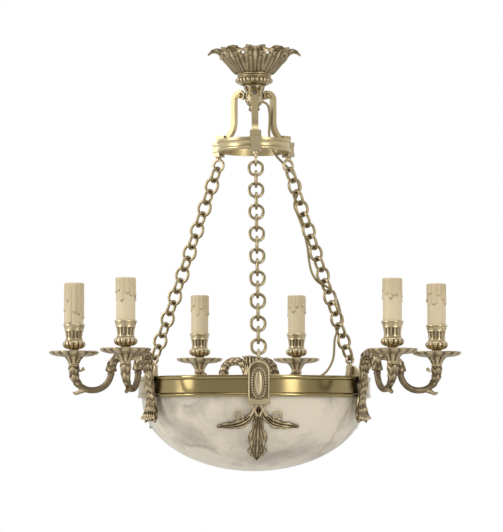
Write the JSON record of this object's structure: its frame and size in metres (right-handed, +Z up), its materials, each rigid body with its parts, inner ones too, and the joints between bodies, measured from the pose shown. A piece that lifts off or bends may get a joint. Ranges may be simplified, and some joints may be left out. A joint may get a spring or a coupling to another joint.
{
  "type": "alabaster bowl chandelier",
  "caption": "Gilt-bronze chandelier: an alabaster bowl in a banded ring, with paired scrolled candle arms, hung by link chains from a small ring below an acanthus crown.",
  "frame": {"origin": "centre of the hanging loop's bore, at the top inside the crown", "axes": "+Z up along the stem, +Y along the loop's bore towards the back, -Y the front with one chain, +X to the right"},
  "size_m": [0.6092, 0.5375, 0.6345],
  "materials": {
    "gilt_bronze": "aged gilt with dark recesses",
    "polished_bronze": "satin, worn bright",
    "chain_brass": "satin aged",
    "plain_brass": "plain drawn",
    "screw_steel": "brassed steel",
    "alabaster": "polished, translucent, smoky veins",
    "candle_card": "ivory wax over a card tube",
    "lampholder": "moulded",
    "cable": "gold sheath"
  },
  "bodies": {
    "ceiling_body": {"central_stem": "plain_brass", "crown": "gilt_bronze", "crown_collar": "gilt_bronze", "foliate_finial": "gilt_bronze", "hanging_loop": "polished_bronze", "ring_blocks": "gilt_bronze", "scroll_arm_front": "polished_bronze", "scroll_arm_left": "polished_bronze", "scroll_arm_right": "polished_bronze", "scroll_boss": "gilt_bronze", "scroll_screws": "screw_steel", "stem_nut": "screw_steel", "supply_cable": "cable", "top_eyes": "gilt_bronze", "top_ring": "polished_bronze"},
    "bowl_frame": {"bobeche_left_a": "gilt_bronze", "bobeche_left_b": "gilt_bronze", "bobeche_rear_a": "gilt_bronze", "bobeche_rear_b": "gilt_bronze", "bobeche_right_a": "gilt_bronze", "bobeche_right_b": "gilt_bronze", "bowl_lampholders": "lampholder", "bowl_ring": "polished_bronze", "bracket_leaf_left": "gilt_bronze", "bracket_leaf_rear": "gilt_bronze", "bracket_leaf_right": "gilt_bronze", "calyxes": "gilt_bronze", "candle_arm_left_a": "gilt_bronze", "candle_arm_left_b": "gilt_bronze", "candle_arm_rear_a": "gilt_bronze", "candle_arm_rear_b": "gilt_bronze", "candle_arm_right_a": "gilt_bronze", "candle_arm_right_b": "gilt_bronze", "candle_cups": "gilt_bronze", "candle_lampholders": "lampholder", "lamp_nipples": "plain_brass", "leaf_spray_front": "gilt_bronze", "leaf_spray_left": "gilt_bronze", "leaf_spray_right": "gilt_bronze", "lower_eyes": "gilt_bronze", "plaque_front": "gilt_bronze", "plaque_left": "gilt_bronze", "plaque_right": "gilt_bronze", "ring_screws": "screw_steel", "spider": "plain_brass"},
    "alabaster_dish": {"alabaster_bowl": "alabaster"},
    "sleeve_left_a": {"candle_sleeve_left_a": "candle_card"},
    "sleeve_left_b": {"candle_sleeve_left_b": "candle_card"},
    "sleeve_rear_a": {"candle_sleeve_rear_a": "candle_card"},
    "sleeve_rear_b": {"candle_sleeve_rear_b": "candle_card"},
    "sleeve_right_a": {"candle_sleeve_right_a": "candle_card"},
    "sleeve_right_b": {"candle_sleeve_right_b": "candle_card"},
    "chain_front_links": {"chain_front": "chain_brass"},
    "chain_left_links": {"chain_left": "chain_brass"},
    "chain_right_links": {"chain_right": "chain_brass"}
  },
  "joints": [
    {"name": "bowl_twist", "type": "hinge", "parent": "ceiling_body", "child": "bowl_frame", "pos_m": [0, 0, -0.452], "axis": [0, 0, 1], "range_deg": [-4.5, 4.5], "stiffness_Nm_per_rad": 3, "deforming": ["supply_cable"]},
    {"name": "chain_front_swing", "type": "hinge", "parent": "ceiling_body", "child": "chain_front_links", "pos_m": [0, -0.06397, -0.16675], "axis": [0, -0.9338, 0.3579], "range_deg": [-2.6, 2.6]},
    {"name": "chain_right_swing", "type": "hinge", "parent": "ceiling_body", "child": "chain_right_links", "pos_m": [0.0554, 0.03198, -0.16675], "axis": [0.8087, 0.4669, 0.3579], "range_deg": [-2.6, 2.6]},
    {"name": "chain_left_swing", "type": "hinge", "parent": "ceiling_body", "child": "chain_left_links", "pos_m": [-0.0554, 0.03198, -0.16675], "axis": [-0.8087, 0.4669, 0.3579], "range_deg": [-2.6, 2.6]},
    {"name": "bowl_lift", "type": "slide", "parent": "bowl_frame", "child": "alabaster_dish", "axis": [0, 0, 1], "range_m": [0, 0.0035]},
    {"name": "sleeve_right_a_lift", "type": "slide", "parent": "bowl_frame", "child": "sleeve_right_a", "axis": [0, 0, 1], "range_m": [0, 0.072]},
    {"name": "sleeve_right_b_lift", "type": "slide", "parent": "bowl_frame", "child": "sleeve_right_b", "axis": [0, 0, 1], "range_m": [0, 0.072]},
    {"name": "sleeve_left_a_lift", "type": "slide", "parent": "bowl_frame", "child": "sleeve_left_a", "axis": [0, 0, 1], "range_m": [0, 0.072]},
    {"name": "sleeve_left_b_lift", "type": "slide", "parent": "bowl_frame", "child": "sleeve_left_b", "axis": [0, 0, 1], "range_m": [0, 0.072]},
    {"name": "sleeve_rear_a_lift", "type": "slide", "parent": "bowl_frame", "child": "sleeve_rear_a", "axis": [0, 0, 1], "range_m": [0, 0.072]},
    {"name": "sleeve_rear_b_lift", "type": "slide", "parent": "bowl_frame", "child": "sleeve_rear_b", "axis": [0, 0, 1], "range_m": [0, 0.072]}
  ],
  "couplings": [
    {"joint": "chain_front_swing", "follows": "bowl_twist", "ratio": 0.57157},
    {"joint": "chain_right_swing", "follows": "bowl_twist", "ratio": 0.57157},
    {"joint": "chain_left_swing", "follows": "bowl_twist", "ratio": 0.57157}
  ]
}
